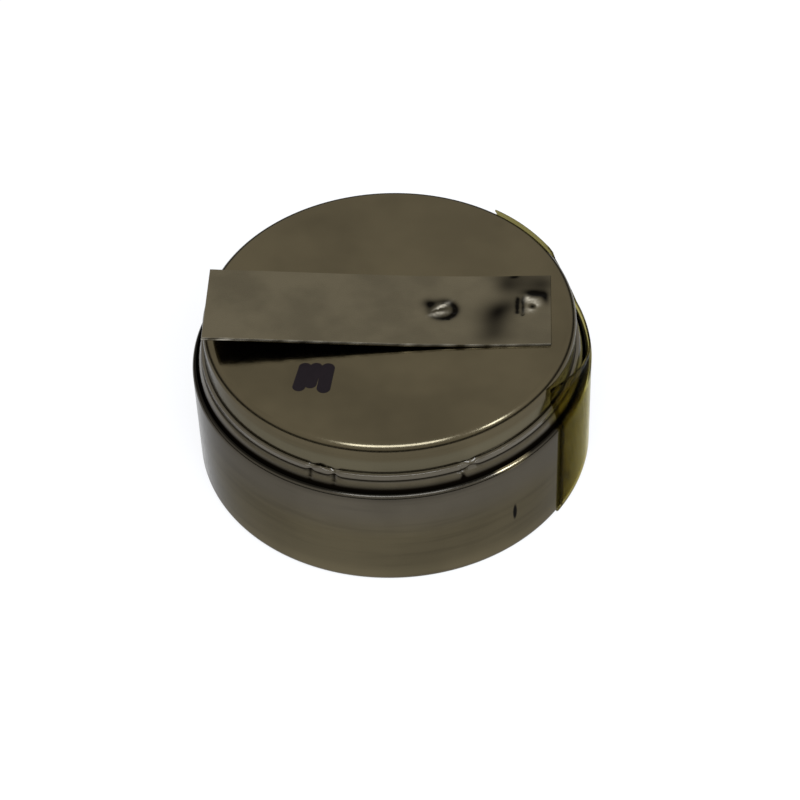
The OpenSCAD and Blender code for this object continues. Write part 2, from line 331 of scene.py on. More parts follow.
def painted_shade_by_height(tree, place, toned, painted_shades):
    """Paints shade into a colour by height in millimetres: one loss below a range, another above it."""
    height = add_node(tree, "ShaderNodeSeparateXYZ", {"Vector": place}).outputs["Z"]
    for low, high, loss_low, loss_high in painted_shades:
        loss = spread(tree, height, low * MM, high * MM, loss_low, loss_high)
        toned = blend_colour(tree, loss, toned, BLACK)
    return toned


def times(colour, share):
    """A colour made darker or lighter by a share."""
    return (colour[0] * share, colour[1] * share, colour[2] * share, 1.0)


def marked(tree, place, toned, colour, marks):
    """Lays soft spots over a tone: centre, radii, slant, softness, and share of the colour in each."""
    for centre, radii, slant, edge, share in marks:
        inside = spot(tree, place, centre, radii, slant, edge)
        toned = blend_colour(tree, inside, toned, times(colour, share))
    return toned


def painted(tree, name):
    """An amount kept on the vertices."""
    return add_node(tree, "ShaderNodeAttribute", attribute_name=name).outputs["Fac"]


def add_relief(tree, shader, height, strength, depth):
    """Gives a surface fine relief, with its depth in millimetres."""
    relief = add_node(
        tree, "ShaderNodeBump", {"Height": height}, {"Strength": strength, "Distance": depth * MM})
    tree.links.new(relief.outputs["Normal"], shader.inputs["Normal"])


def colour_of(name):
    """A colour from the settings as RGBA."""
    return tuple(getattr(bpy.context.scene.cell_colours, name)) + (1.0,)


# Materials, named for the real ones

def drawn_steel(name, colour, cool, cool_from, cool_to, painted_shades=(), marks=(), painted_highlights=()):
    """Nickel plated steel, deep drawn: a dim satin mirror that greys with height and is faintly clouded, with
    painted shade by height and painted highlights where given.
    """
    material, tree, shader, place = new_material(name, colour, 1.0, 0.2, Specular_Tint=EDGE_TINT)
    height = add_node(tree, "ShaderNodeSeparateXYZ", {"Vector": place}).outputs["Z"]
    ground = blend_colour(tree, spread(tree, height, cool_from * MM, cool_to * MM, 0, 1), colour, cool)
    cloud = noisy(tree, place, 3, 3.0)
    # Lines round the wall, left by the die
    drawn = noisy(tree, stretched(tree, place, (0.05, 0.05, 1)), 0.35, 4.0, 0.7)
    clouded = blend_colour(tree, spread(tree, cloud, 0.35, 0.65, 0, 0.15), ground, BLACK)
    lined = blend_colour(tree, spread(tree, drawn, 0.45, 0.7, 0, 0.16), clouded, BLACK)
    # Painted shade by height, then painted highlights over it
    shaded = painted_shade_by_height(tree, place, marked(tree, place, lined, colour, marks), painted_shades)
    tree.links.new(marked(tree, place, shaded, colour, painted_highlights), shader.inputs["Base Color"])
    grain = noisy(tree, stretched(tree, place, (1, 1, 0.25)), 0.07, 4.0, 0.6)
    tree.links.new(spread(tree, grain, 0.3, 0.7, 0.14, 0.22), shader.inputs["Roughness"])
    add_relief(tree, shader, grain, 0.08, 0.003)
    return material


def rolled_nickel(name, colour, stain_and_shade_colour=None, bare=None):
    """Nickel strip: fine lines along the rolling direction, dull stains, and burnt metal round the welds,
    with painted shade and a painted highlight where given.
    """
    material, tree, shader, place = new_material(name, colour, 1.0, 0.24, Specular_Tint=EDGE_TINT)
    lines = noisy(tree, stretched(tree, place, (0.06, 1, 1)), 0.05, 3.0)
    stain = noisy(tree, place, 1.6, 3.0)
    toned = blend_colour(tree, spread(tree, stain, 0.35, 0.7, 0, 1), times(colour, 1.08), times(colour, 0.84))
    # Dark for burnt metal, smudges and painted shade; bright for scraped metal and a painted highlight
    if stain_and_shade_colour:
        toned = blend_colour(tree, painted(tree, "soil"), toned, stain_and_shade_colour)
        toned = blend_colour(tree, painted(tree, "bare"), toned, bare)
    tree.links.new(toned, shader.inputs["Base Color"])
    tree.links.new(spread(tree, lines, 0.3, 0.7, 0.2, 0.28), shader.inputs["Roughness"])
    add_relief(tree, shader, lines, 0.1, 0.002)
    return material


def plastic_film(name, colour, roughness, cloud_mm, stain_and_shade_colour=None, marks=(), **sockets):
    """Thin plastic: smooth and a little uneven in tone and gloss, with its stains and painted shade where
    some are kept.
    """
    material, tree, shader, place = new_material(name, colour, 0.0, roughness, **sockets)
    cloud = noisy(tree, place, cloud_mm, 3.0)
    toned = blend_colour(
        tree, spread(tree, cloud, 0.35, 0.65, 0, 1), times(colour, 0.94), times(colour, 1.04))
    toned = marked(tree, place, toned, colour, marks)
    if stain_and_shade_colour:
        # Stains and painted shade are dull as well as dark
        soil = painted(tree, "soil")
        toned = blend_colour(tree, soil, toned, stain_and_shade_colour)
        gloss = shader.inputs["Specular IOR Level"].default_value
        tree.links.new(spread(tree, soil, 0, 1, gloss, 0), shader.inputs["Specular IOR Level"])
    tree.links.new(toned, shader.inputs["Base Color"])
    uneven = spread(tree, cloud, 0.3, 0.7, 0.8 * roughness, 1.2 * roughness)
    tree.links.new(uneven, shader.inputs["Roughness"])
    return material


def coated_foil(name, colour):
    """Electrode coating: a dull, dense powder with a fine speckle."""
    material, tree, shader, place = new_material(name, colour, 0.0, 0.85)
    speckle = noisy(tree, place, 0.05, 5.0)
    toned = blend_colour(tree, spread(tree, speckle, 0.4, 0.6, 0, 1), times(colour, 0.8), times(colour, 1.2))
    tree.links.new(toned, shader.inputs["Base Color"])
    add_relief(tree, shader, speckle, 0.4, 0.01)
    return material


# Outlines of the housing, shared by the pieces that seat in each other

def housing():
    """Radii and heights that the cup, the lid and the seal take from the settings."""
    s = bpy.context.scene.cell_sizes
    h = {"cup_r": s.cup_d / 2}
    h["cup_ri"] = h["cup_r"] - s.wall
    h["film_r"] = h["cup_ri"] - s.film_gap
    h["low_r"] = h["film_r"] - s.film - s.film_gap
    h["lid_r"] = h["low_r"] - s.lid_step
    h["turn"] = math.degrees(math.acos(1 - s.lid_step / (2 * s.shoulder_r)))
    half = s.shoulder_r * math.sin(math.radians(h["turn"]))
    h["top"] = s.cup_h + s.shoulder_rise + half
    h["bottom"] = s.cup_h + s.shoulder_rise - half
    h["edge"] = s.wall + s.film + 2 * s.film_gap
    return s, h


def shoulder(s, h, off):
    """The lid's shoulder from the top down, at a distance outwards from the middle of the steel."""
    upper = arc((h["lid_r"] - s.wall / 2 + s.shoulder_r, h["top"]), s.shoulder_r - off, 180, 180 + h["turn"])
    lower = arc((h["low_r"] - s.wall / 2 - s.shoulder_r, h["bottom"]), s.shoulder_r + off, h["turn"], 0)
    return upper + lower


# Operators, one for each piece or group of like pieces

class MakeLid(bpy.types.Operator):
    """Steel lid: flat face, rounded edge, narrow wall, shoulder and a wide wall inside the cup"""
    bl_idname = "button_cell.lid"
    bl_label = "Lid"

    def execute(self, context):
        s, h = housing()
        centre = (h["lid_r"] - s.lid_fillet, s.cell_h - s.lid_fillet)
        profile = (
            [(0, s.cell_h)] + arc(centre, s.lid_fillet, 90, 0, 16) + shoulder(s, h, s.wall / 2)
            + [(h["low_r"], h["edge"]), (h["low_r"] - s.wall, h["edge"])]
            + shoulder(s, h, -s.wall / 2)[::-1] + arc(centre, s.lid_fillet - s.wall, 0, 90)
            + [(0, s.cell_h - s.wall)])
        # The wall is a little greyer than the face, and painted shade darkens it towards the seal
        steel = drawn_steel(
            "nickel_plated_steel_lid", colour_of("lid"), colour_of("lid_cool"), 4.9, 4.7,
            [(4.3, 4.5, 0.12, 0)])
        finish_piece(lathe(profile, 192, False), "lid_shell", ["lid"], steel)
        return {"FINISHED"}


class MakeCup(bpy.types.Operator):
    """Steel cup: flat base, straight wall and a lip that turns in a little"""
    bl_idname = "button_cell.cup"
    bl_label = "Cup"

    def execute(self, context):
        s, h = housing()
        base = (h["cup_r"] - s.cup_fillet, s.cup_fillet)
        lip = (h["cup_r"] - s.lip_fillet, s.cup_h - s.lip_fillet)
        profile = (
            [(0, 0)] + arc(base, s.cup_fillet, -90, 0, 16) + arc(lip, s.lip_fillet, 0, 65, 12)
            + [(h["cup_ri"], s.cup_h - 0.05)] + arc(base, s.cup_fillet - s.wall, 0, -90)
            + [(0, s.wall)])
        # Painted light and shade: the wall is painted a little brighter by the base, and darker under the lip
        # and by the gap at its top
        painted_shades = [
            (0.3, 0.9, 0, 0.2), (s.cup_h - 0.4, s.cup_h - 0.1, 0, 0.22),
            (s.cup_h - 0.08, s.cup_h - 0.035, 0, 0.86)]
        # A short dark nick in the wall, near the front of the amber film
        marks = [(around(h["cup_r"], -54.8, 1.68), (0.07, 0.07, 0.3), 0, 0.3, 0.03)]
        # A painted highlight on the lip, brighter than the steel
        painted_highlights = [(around(5.9, -55, s.cup_h - 0.05), (0.55, 0.5, 0.09), 35, 0.4, 1.6)]
        steel = drawn_steel(
            "nickel_plated_steel_cup", colour_of("cup"), colour_of("cup_cool"), 1.8, 3.2,
            painted_shades, marks, painted_highlights)
        finish_piece(lathe(profile, 240, False), "cup_shell", ["cup"], steel)
        return {"FINISHED"}


class MakeSeal(bpy.types.Operator):
    """Sealing film: collar round the lid, crease, bead into the cup, and a foot round the lid's edge"""
    bl_idname = "button_cell.seal"
    bl_label = "Seal"

    # Pinches in the film: direction, width in degrees, how far the crease and the edge meet, and their lift
    PINCHES = (
        (-115.4, 1.3, 0.5, 0.025), (-112.5, 1.2, -0.2, 0.03), (-108.1, 1.3, 0.75, 0.02),
        (-70.5, 1.2, -0.15, -0.02), (-67.6, 1.8, 0.9, 0.02))
    # Short upright nicks in the bead: direction, and their lowest and highest place
    NICKS = ((-115.4, 3.9, 4.08), (-108.1, 3.92, 4.08), (-70.4, 3.82, 4.0))
    # Width of a nick in degrees, and its depth
    NICK_WIDTH, NICK_DEPTH = 0.6, 0.03
    # A point this far behind the collar's face, or further, is on the film's inner side
    BEHIND = 0.06

    def execute(self, context):
        s, h = housing()
        collar_ri = h["lid_r"] + s.film_gap
        collar_r = collar_ri + s.film
        crease = s.cup_h + s.crease_rise
        brim = [
            (collar_ri, SEAL_TOP), (collar_r - 0.05, SEAL_TOP), (collar_r - 0.015, SEAL_TOP - 0.01),
            (collar_r, SEAL_TOP - 0.024)]
        collar = [(collar_r, crease + rise) for rise in (0.15, 0.1, 0.06, 0.035)]
        groove = [(collar_r - 0.004, crease + 0.018), (collar_r - 0.006, crease), (collar_r, crease - 0.018)]
        # The bead is one arc from the crease to where the film meets the cup
        bead_h = s.crease_rise + s.seal_depth
        bead_in = h["film_r"] - collar_r
        bead_r = (bead_in ** 2 + bead_h ** 2) / (2 * bead_in)
        bead_turn = math.degrees(math.asin(bead_h / bead_r))
        bead = arc((h["film_r"] - bead_r, s.cup_h - s.seal_depth), bead_r, bead_turn, 0, 26)[2:]
        # The foot goes under the lid's edge and up inside it
        web = s.wall + s.film_gap
        foot_r = h["low_r"] - s.wall - s.film_gap
        foot = [
            (foot_r - s.film, web), (foot_r - s.film, web + s.foot_h), (foot_r, web + s.foot_h),
            (foot_r, web + s.film), (h["low_r"] + s.film_gap, web + s.film)]
        profile = (
            brim + collar + groove + bead
            + arc((h["cup_r"] - s.cup_fillet, s.cup_fillet), s.cup_fillet - web, 0, -90, 6)
            + foot + shoulder(s, h, s.wall / 2 + s.film_gap)[::-1])
        bm = lathe(profile, 720, True)
        inner_r = collar_r - self.BEHIND
        paint(bm, "soil", lambda vert: self.soil(vert, s.cup_h, crease, inner_r))
        self.pinch(bm, crease, inner_r)
        # Near-black for the painted shade and the nicks
        seal = plastic_film(
            "polyamide_seal_film", colour_of("seal"), 0.2, 0.8, stain_and_shade_colour=linear("#060402"),
            Specular_Tint=(1.0, 0.92, 0.78, 1))
        finish_piece(bm, "seal_ring", ["seal_film"], seal, 60)
        return {"FINISHED"}

    def soil(self, vert, lip, crease, inner_r):
        """Painted shade: a dark line in the crease, and deep shade by the lip and behind the collar; and dark
        nicks.
        """
        z = vert.co.z
        # The film's inner side is painted dark below its top, as shade
        if math.hypot(vert.co.x, vert.co.y) < inner_r:
            return 1.0 if z < SEAL_TOP - 0.02 else 0.0
        where = math.degrees(math.atan2(vert.co.y, vert.co.x))
        # Painted shade in the crease, and deepening down to the gap by the lip
        dark = 0.95 * bump(z - crease, 0.038) + 1 - smooth_step(z, lip + 0.04, lip + 0.22)
        for nick, low, high in self.NICKS:
            if low < z < high:
                dark += 0.8 * bump(turn_apart(where, nick), self.NICK_WIDTH)
        return dark

    def pinch(self, bm, crease, inner_r):
        """Moves the film's edge and its crease together where it was pinched, and dents the bead there."""
        middle = (crease + SEAL_TOP) / 2
        for vert in bm.verts:
            r = math.hypot(vert.co.x, vert.co.y)
            if vert.co.z < crease - 0.3 or r < inner_r:
                continue
            where = math.degrees(math.atan2(vert.co.y, vert.co.x))
            if vert.co.z > crease - 0.04:
                for pinch, width, meet, lift in self.PINCHES:
                    near = bump(turn_apart(where, pinch), width)
                    vert.co.z += (meet * (middle - vert.co.z) + lift) * near
            dented = sum(bump(turn_apart(where, nick[0]), self.NICK_WIDTH) for nick in self.NICKS)
            vert.co.x *= 1 - self.NICK_DEPTH * dented / r
            vert.co.y *= 1 - self.NICK_DEPTH * dented / r


class MakeTab(bpy.types.Operator):
    """Nickel strip: sheared edges, pressed weld marks with burrs, and a free end that rises off the lid"""
    bl_idname = "button_cell.tab"
    bl_label = "Solder tab"

    # Soft and sharp dark places, partly smudges and partly painted shade and dark reflection in the dents:
    # middle and reach in the cell's plan, slant in degrees, depth of tone
    SMUDGES_AND_DENT_SHADE = (
        ((3.14, -0.6), (0.55, 0.66), 10, 0.72), ((3.55, -0.1), (0.5, 0.36), 25, 0.5),
        ((3.1, -1.2), (0.5, 0.4), 0, 0.3), ((4.0, 0.8), (0.66, 0.42), -4, 0.58),
        ((4.7, 0.8), (0.4, 0.4), 0, 0.5), ((3.8, 1.17), (0.12, 0.06), 0, 0.6),
        ((4.3, -0.17), (0.1, 0.09), 0, 0.95), ((3.5, 0.85), (0.33, 0.5), 0, 0.42),
        ((3.25, -0.3), (0.34, 0.45), 0, 0.12), ((3.95, 1.2), (0.7, 0.22), 0, 0.3),
        ((2.9, -1.5), (0.7, 0.35), 0, 0.28), ((4.4, 0.4), (0.34, 0.15), -8, 0.95),
        ((4.7, 0.15), (0.12, 0.26), 8, 0.8), ((1.18, 0.1), (0.2, 0.2), 30, 0.75),
        ((1.56, -0.18), (0.38, 0.36), 0, 0.62),
    )
    # Metal scraped bright, in the same terms
    SCRAPES = (
        ((1.54, -0.11), (0.27, 0.07), 44, 1.0), ((1.5, -0.36), (0.2, 0.07), 15, 0.45),
        ((4.31, 0.06), (0.17, 0.12), -25, 0.55), ((4.16, 0.16), (0.07, 0.12), 15, 0.6),
        ((4.22, -0.3), (0.14, 0.12), 0, 0.3), ((4.42, -0.12), (0.1, 0.08), 0, 0.5),
    )
    # Pits in the scraped metal, darker than all round them
    PITS = (((1.47, -0.22), (0.13, 0.045), 25, 1.2), ((4.31, -0.16), (0.08, 0.07), 0, 1.2))
    # Crests that the electrodes raised and dents that they left, with their height or depth last
    CRESTS = (((1.53, -0.13), (0.3, 0.12), 44, 0.022), ((4.34, 0.02), (0.24, 0.15), -25, 0.03))
    DENTS = (
        ((1.47, -0.2), (0.1, 0.05), 20, 0.03), ((4.3, -0.17), (0.07, 0.06), 0, 0.012),
        ((4.5, 0.4), (0.24, 0.13), -10, 0.035), ((3.25, -0.6), (0.5, 0.5), 20, 0.006),
    )
    # Ring groove of the inner weld: middle in the cell's plan, and radii
    RING = ((1.6, -0.18), (0.4, 0.38))
    # Upright slits that the outer electrode cut: place, lowest and highest point, half width
    SLITS = ((3.86, -0.45, 0.3, 0.07), (4.02, -0.55, 0.3, 0.06))
    # Welds under the strip: distance from its welded end, and place across it
    WELDS = ((0.63, 0.27), (3.3, 0.04))
    # Width of the strip's rounded edge
    BEVEL = 0.065

    def rise(self, t, x):
        """Height of the strip's underside above the lid, at a distance along the strip."""
        start = t.bend_middle + t.bend_long / 2
        if x >= start:
            return 0
        if x > start - t.bend_long:
            return t.slope * (start - x) ** 2 / (2 * t.bend_long)
        return t.slope * (t.bend_middle - x)

    def execute(self, context):
        t = context.scene.tab_sizes
        face = context.scene.cell_sizes.cell_h
        middle = Matrix.Translation((t.middle[0], t.middle[1], face))
        place = middle @ Matrix.Rotation(math.radians(t.yaw), 4, "Z")
        half_l, half_w = t.long / 2, t.wide / 2
        # Closer rows where the welds and the edges are
        columns = (
            (0, -half_l), (0.02, self.BEVEL - half_l), (0.2, 0.9), (0.92, 4.95),
            (0.98, half_l - self.BEVEL), (1, half_l))
        rows = (
            (0, -half_w), (0.02, self.BEVEL - half_w), (0.14, -0.8), (0.84, 0.75),
            (0.98, half_w - self.BEVEL), (1, half_w))
        bm = bmesh.new()
        bm.verts.layers.float.new("soil")
        bm.verts.layers.float.new("bare")
        bmesh.ops.create_grid(bm, x_segments=230, y_segments=100, size=0.5)
        under = list(bm.verts)
        made = bmesh.ops.extrude_face_region(bm, geom=bm.faces[:])
        over = set(g for g in made["geom"] if isinstance(g, bmesh.types.BMVert))
        for vert in bm.verts:
            vert.co.x = along_stops(vert.co.x + 0.5, columns)
            vert.co.y = along_stops(vert.co.y + 0.5, rows)
            vert.co.z = self.rise(t, vert.co.x) + (t.thick if vert in over else 0)
        paint(bm, "soil", lambda vert: self.soil(t, place @ vert.co, vert, vert in over))
        paint(bm, "bare", lambda vert: self.bare(
            place @ vert.co, vert.co.y < self.BEVEL / 2 - half_w) if vert in over else 0)
        self.press(t, place, over, under)
        for vert in bm.verts:
            x, y = vert.co.x, vert.co.y
            if vert in over and (abs(y) > half_w - 0.001 or abs(x) > half_l - 0.001):
                vert.co.z -= 0.75 * self.BEVEL
            # Sheared edges wander by a few hundredths of a millimetre
            vert.co.y += 0.012 * noise.noise(Vector((x * 1.3, math.copysign(4, y), 0))) * abs(y) / half_w
            vert.co.x += t.skew * y / t.wide
        bmesh.ops.transform(bm, matrix=place, verts=bm.verts)
        # Near-black for burnt metal, smudges and painted shade; bright nickel for the scrapes and the near
        # edge's painted highlight
        nickel = rolled_nickel(
            "rolled_nickel_strip", colour_of("nickel"), linear("#0d0b08"), colour_of("bare"))
        finish_piece(bm, "nickel_strip", ["solder_tab"], nickel, 35)
        return {"FINISHED"}

    def soil(self, t, at, vert, top):
        """Burnt metal at the welds, smudges and painted shade in the dents, and painted shade on the sheared
        sides, the underside and in the slits.
        """
        x, y = vert.co.x, vert.co.y
        beside = abs(y) > t.wide / 2 - 0.001 or abs(x) > t.long / 2 - 0.001
        # The underside is painted a little dark, and nearly black on its sides, as shade
        if not top:
            return 0.95 if beside else 0.15
        dark = 0.05 * smooth_step(at.x, 3.2, 4.6) + hills(at, self.SMUDGES_AND_DENT_SHADE)
        # Painted shade along the sheared sides, broken by noise
        if beside:
            dark += 0.1 + 0.5 * noise.noise(Vector((x * 2.2, y, 9)))
        # The slits are painted dark, unevenly, as shade
        slit_shade = 0.75 + 0.5 * noise.noise(Vector((at.x * 9, at.y * 6, 12)))
        ring, angle = self.groove(at)
        burnt = 1.1 * bump(ring - 1, 0.3) * (0.64 + 0.36 * math.cos(angle + 0.3))
        return dark + slit_shade * self.slits(at, 1) + burnt

    def bare(self, at, edge):
        """Metal that the electrodes scraped bright, with pits in it, and a broken painted highlight along the
        near edge's burr.
        """
        # Along the near edge: a painted highlight, broken by noise
        if edge:
            return 0.4 + 0.8 * noise.noise(Vector((at.x * 2.6, 0, 4)))
        rough = 0.75 + 0.6 * noise.noise(Vector((at.x * 11, at.y * 11, 5)))
        return rough * hills(at, self.SCRAPES) - hills(at, self.PITS)

    def groove(self, at):
        """Distance from the inner weld's middle in its own radii, and the direction."""
        (x, y), (long, wide) = self.RING
        dx, dy = at.x - x, at.y - y
        return math.hypot(dx / long, dy / wide), math.atan2(dy, dx)

    def slits(self, at, share):
        """1 in the middle of the outer weld's slits and 0 away from them, with their widths times a share."""
        near = 0
        for middle, low, high, width in self.SLITS:
            ends = smooth_step(at.y, low - 0.05, low + 0.1) * (1 - smooth_step(at.y, high - 0.1, high + 0.05))
            near += ends * bump(at.x - middle - 0.05 * at.y, share * width)
        return near

    def press(self, t, place, over, under):
        """Groove, crests, slits and dents from the two electrodes, and the metal pushed down to the lid."""
        for vert in over:
            at = place @ vert.co
            ring, angle = self.groove(at)
            rough = 1 + 0.5 * noise.noise(Vector((at.x * 7, at.y * 7, 3)))
            deep = 0.05 * bump(ring - 0.95, 0.34) * (0.7 + 0.3 * math.cos(angle + 0.3))
            deep += 0.045 * self.slits(at, 1.2) - hills(at, self.CRESTS)
            vert.co.z -= rough * deep + hills(at, self.DENTS)
        for from_end, across in self.WELDS:
            for vert in under:
                d = math.hypot(vert.co.x - (t.long / 2 - from_end), vert.co.y - across) / t.weld_r
                vert.co.z *= smooth_step(d, 0.6, 1.1)


class MakeSideFilm(bpy.types.Operator):
    """Amber film round part of the wall: its upper edge leans in at both ends and is low between them"""
    bl_idname = "button_cell.side_film"
    bl_label = "Side film"

    # Rows of its grid, from 0 at the lower edge to 1 at the upper: end of the foot round the cup's base,
    # end of the part on the wall, and start of the lap over the lid
    FOOT, WALL, LAP = 0.2, 0.5, 0.85
    # Length over which it bends where it leaves the cup
    BEND = 0.04

    def cut(self, y):
        """Height of the film's upper edge at a distance along Y: down to the lip, along it, and up again."""
        f, lip = self.film, self.sizes.cup_h
        angles = (f.start, f.low_from, f.low_to, f.low_to + f.rise)
        places = [self.radius * math.sin(math.radians(a)) for a in angles]
        return along_stops(y, list(zip(places, (SIDE_FILM_TOP, lip, lip, SIDE_FILM_TOP))))

    def edge(self, angle):
        """Height of the film's upper edge in a direction, found in a few steps as the film leans in."""
        z = SIDE_FILM_TOP
        for _ in range(12):
            z = self.cut((self.radius - self.lean(z)) * math.sin(angle))
        return z

    def lean(self, z):
        """How far the film has leant in at a height, with a soft bend where it leaves the cup."""
        s = self.sizes
        slope = (self.radius - self.lid_r - self.film.stand) / (s.cell_h - s.lid_fillet - self.fold)
        past = max(z - self.fold, 0)
        return slope * (past - self.BEND * (1 - math.exp(-past / self.BEND)))

    def outline(self, edge, lap, up, off):
        """Radius and height of a point of the film, from its lower edge up, at a distance outwards."""
        s, f = self.sizes, self.film
        if up < self.FOOT:
            turned = math.radians(f.wrap * (up / self.FOOT - 1))
            reach = s.cup_fillet + f.gap + off
            return (s.cup_d / 2 - s.cup_fillet + reach * math.cos(turned),
                    s.cup_fillet + reach * math.sin(turned))
        if up < self.WALL:
            return self.radius + off, along_stops(up, ((self.FOOT, s.cup_fillet), (self.WALL, self.fold)))
        z = along_stops(up, ((self.WALL, self.fold), (self.LAP, edge - 0.09 * lap)))
        r = self.radius + off - self.lean(z)
        if lap == 0:
            # All its upper rows lie between the fold and the edge
            return r, along_stops(up, ((self.WALL, self.fold), (1, edge)))
        if up <= self.LAP:
            return r, z
        # At the back it laps the lid's rounding
        turned = math.radians(along_stops(up, ((self.LAP, 14), (1, 14 + 28 * lap))))
        reach = s.lid_fillet + f.stand + off
        return (self.lid_r - s.lid_fillet + reach * math.cos(turned),
                s.cell_h - s.lid_fillet + reach * math.sin(turned))

    def soil(self, where, up, z, lap):
        """Tone of a point: painted shade, deeper where the wall curves away and above the lip, and dark by
        the edges.
        """
        above = smooth_step(z, self.sizes.cup_h, self.sizes.cup_h + 0.3)
        # Painted shade: deeper round the side and over the gap above the lip
        deep = 0.16 + 0.4 * smooth_step(where, -26, -4) + 0.22 * above
        # Thin lines along the upper and the lower edge, and a dark line just behind the front end
        rims = 0.5 * smooth_step(up, 0.975, 1) * (1 - lap) + 0.85 * (1 - smooth_step(up, 0, 0.04))
        front = where - self.film.start
        front_line = (0.9 - 0.45 * above) * bump(front - 1.0, 0.55) + 0.3 * (front < 0.1)
        return min(front_line + rims + deep, 0.97)

    def execute(self, context):
        self.sizes, h = housing()
        self.film = context.scene.film_sizes
        self.radius = h["cup_r"] + self.film.gap
        self.lid_r = h["lid_r"]
        # Height at which the film leaves the cup
        self.fold = self.sizes.cup_h - self.sizes.lip_fillet / 2
        lip = self.sizes.cup_h
        # Closer columns at the front end
        columns = ((0, 0), (0.08, 0.03), (1, 1))
        bm = bmesh.new()
        layer = bm.verts.layers.float.new("soil")
        bmesh.ops.create_grid(bm, x_segments=200, y_segments=60, size=0.5)
        made = bmesh.ops.extrude_face_region(bm, geom=bm.faces[:])
        outer = set(g for g in made["geom"] if isinstance(g, bmesh.types.BMVert))
        edges = {}
        for vert in bm.verts:
            share, up = vert.co.x + 0.5, vert.co.y + 0.5
            angle = math.radians(self.film.start + self.film.sweep * along_stops(share, columns))
            key = round(share, 4)
            if key not in edges:
                edges[key] = self.edge(angle)
            lap = smooth_step(edges[key], SIDE_FILM_TOP - 0.3, SIDE_FILM_TOP) if angle > 0 else 0
            # The cut edge and the free part wander by a little more than a hundredth of a millimetre
            edge = edges[key] + 0.015 * noise.noise(Vector((share * 16, 0, 7)))
            r, z = self.outline(min(edge, SIDE_FILM_TOP), lap, up, self.film.thick if vert in outer else 0)
            free = smooth_step(z, lip, lip + 0.7)
            r += 0.015 * free * (noise.noise(Vector((share * 7, up * 2, 1.5))) + 0.6)
            vert.co = Vector((r * math.cos(angle), r * math.sin(angle), z))
            vert[layer] = self.soil(math.degrees(angle), up, z, lap)
        # A small dark spot near the front end
        marks = [(around(6.12, -31.4, 1.24), (0.08, 0.08, 0.2), 0, 0.5, 0.25)]
        # Far below the index of the real film, because the photograph shows next to no gloss on it
        amber = plastic_film(
            "polyimide_film", colour_of("amber"), 0.1, 1.5, stain_and_shade_colour=linear("#1a0f02"), marks=marks,
            Transmission_Weight=1.0, IOR=1.02)
        finish_piece(bm, "amber_film", ["side_film"], amber, 40)
        return {"FINISHED"}


class MakeMarks(bpy.types.Operator):
    """Black ink blot on the lid's face: three strokes with round tops that run together"""
    bl_idname = "button_cell.marks"
    bl_label = "Ink mark"

    def execute(self, context):
        face = context.scene.cell_sizes.cell_h
        bm = bmesh.new()
        # Each stroke in plan: left and right edge at its top, top, bottom, and how far its lower end is
        # moved along X
        strokes = (
            (-2.72, -2.33, -2.06, -3.22, -0.19), (-2.39, -2.01, -2.08, -3.12, -0.18),
            (-2.06, -1.65, -2.12, -3.34, -0.14))
        # Space to the lid, step from stroke to stroke, and thickness of the ink
        lift, step, thick = 0.001, 0.0005, 0.003
        for i, (left, right, top, bottom, lean) in enumerate(strokes):
            r = (right - left) / 2
            mid = (left + right) / 2
            outline = arc((mid, top - r), r, 0, 180, 12) + arc((mid + lean, bottom + r), r, 180, 360, 12)
            verts = [bm.verts.new((x, y, face + lift + step * i)) for x, y in outline]
            made = bmesh.ops.extrude_face_region(bm, geom=[bm.faces.new(verts)])
            lifted = [g for g in made["geom"] if isinstance(g, bmesh.types.BMVert)]
            bmesh.ops.translate(bm, vec=(0, 0, thick), verts=lifted)
        ink = plastic_film("black_ink", colour_of("ink"), 0.5, 0.3, IOR=1.2, Specular_IOR_Level=0.1)
        finish_piece(bm, "ink_mark", [], ink)
        return {"FINISHED"}


class DressInnerPieces(bpy.types.Operator):
    """Gives the pieces inside the housing their own finishes"""
    bl_idname = "button_cell.inner"
    bl_label = "Inner pieces"

    def execute(self, context):
        positive = coated_foil("positive_electrode_coating", linear("#232427"))
        negative = coated_foil("graphite_electrode_coating", linear("#2c2a29"))
        separator = plastic_film("porous_separator_film", linear("#dcdcd8"), 0.6, 0.2)
        tape = plastic_film("roll_closing_tape", linear("#a8762c"), 0.3, 0.5)
        insulator = plastic_film("insulating_disc_film", linear("#cfd3cf"), 0.5, 0.4)
        foil = rolled_nickel("rolled_aluminium_foil", linear("#b9bbbf"))
        strip = rolled_nickel("rolled_nickel_foil", linear("#8f887a"))
        # The solids that the scene's own pieces replace have a finish as well
        finishes = {
            "positive_electrode": positive, "negative_electrode": negative, "inner_separator": separator,
            "outer_separator": separator, "roll_tape": tape, "lower_insulator": insulator,
            "upper_insulator": insulator, "inner_conductor": foil, "outer_conductor": strip,
            "cup": strip, "lid": strip, "seal_film": tape, "solder_tab": strip, "side_film": tape,
        }
        for name, material in finishes.items():
            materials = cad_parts[name].data.materials
            materials.clear()
            materials.append(material)
        return {"FINISHED"}


